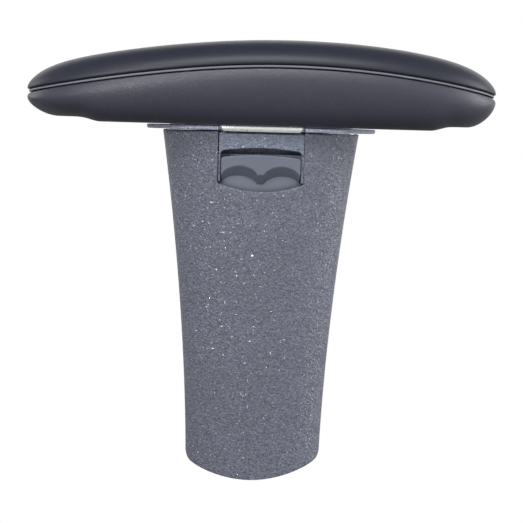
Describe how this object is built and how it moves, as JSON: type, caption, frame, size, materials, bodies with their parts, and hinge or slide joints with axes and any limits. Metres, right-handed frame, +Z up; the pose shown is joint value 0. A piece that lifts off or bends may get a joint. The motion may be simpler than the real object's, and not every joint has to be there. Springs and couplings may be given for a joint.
{
  "type": "chair armrest",
  "caption": "Height-adjustable armrest: padded top on a flared sleeve that slides on a notched steel stem, freed by a finger lever.",
  "frame": {"origin": "centre of the foot face of the steel stem, where the chair's bracket carries the armrest", "axes": "+X along the pad towards its blunter rear end, -Y towards the release lever, +Z up along the stem"},
  "size_m": [0.2476, 0.092, 0.2326],
  "materials": {
    "cushion": "satin moulded skin of a soft foam cushion",
    "lower_shell": "fine leather-like moulded grain",
    "core": "plain moulded",
    "sleeve_plastic": "fine spark-eroded texture",
    "lever_plastic": "smooth satin",
    "zinc_steel": "bright zinc plated",
    "steel": "plain, lightly oiled",
    "nylon": "natural nylon"
  },
  "bodies": {
    "stem": {"stem": "zinc_steel", "upper_glide_shoe": "nylon", "shoe_pin_1": "steel", "shoe_pin_2": "steel"},
    "arm": {"pad_upper_cushion": "cushion", "pad_core_board": "core", "pad_lower_shell": "lower_shell", "threaded_insert_1": "zinc_steel", "threaded_insert_2": "zinc_steel", "threaded_insert_3": "zinc_steel", "threaded_insert_4": "zinc_steel", "pad_screw_1": "zinc_steel", "pad_screw_2": "zinc_steel", "pad_screw_3": "zinc_steel", "pad_screw_4": "zinc_steel", "mounting_plate": "zinc_steel", "collar_plate": "sleeve_plastic", "sleeve": "sleeve_plastic", "sleeve_screw_1": "steel", "sleeve_screw_2": "steel", "lever_housing": "sleeve_plastic", "housing_screw_1": "steel", "housing_screw_2": "steel", "guide_tube": "steel", "lower_guide_bush": "nylon", "pawl_bracket": "zinc_steel", "bracket_rivet_1": "steel", "bracket_rivet_2": "steel", "pawl_pivot_pin": "steel", "pivot_pin_clip": "steel", "lever_spring_front": "steel", "lever_spring_rear": "steel"},
    "lever": {"release_lever": "lever_plastic", "pull_strip": "zinc_steel", "strip_rivet_1": "steel", "strip_rivet_2": "steel"},
    "pawl": {"lock_pawl": "steel"}
  },
  "joints": [
    {"name": "arm_height_slide", "type": "slide", "parent": "stem", "child": "arm", "axis": [0, 0, 1], "range_m": [0, 0.07]},
    {"name": "lever_slide", "type": "slide", "parent": "arm", "child": "lever", "axis": [0, 0, 1], "range_m": [0, 0.0028], "stiffness_N_per_m": 450, "springref_m": -0.004, "deforming": ["lever_spring_front", "lever_spring_rear"]},
    {"name": "pawl_pivot", "type": "hinge", "parent": "arm", "child": "pawl", "pos_m": [0, -0.0115, 0.1095], "axis": [-1, 0, 0], "range_deg": [0, 23]}
  ],
  "couplings": [
    {"joint": "pawl_pivot", "follows": "lever_slide", "rad_per_m": 141.8}
  ]
}
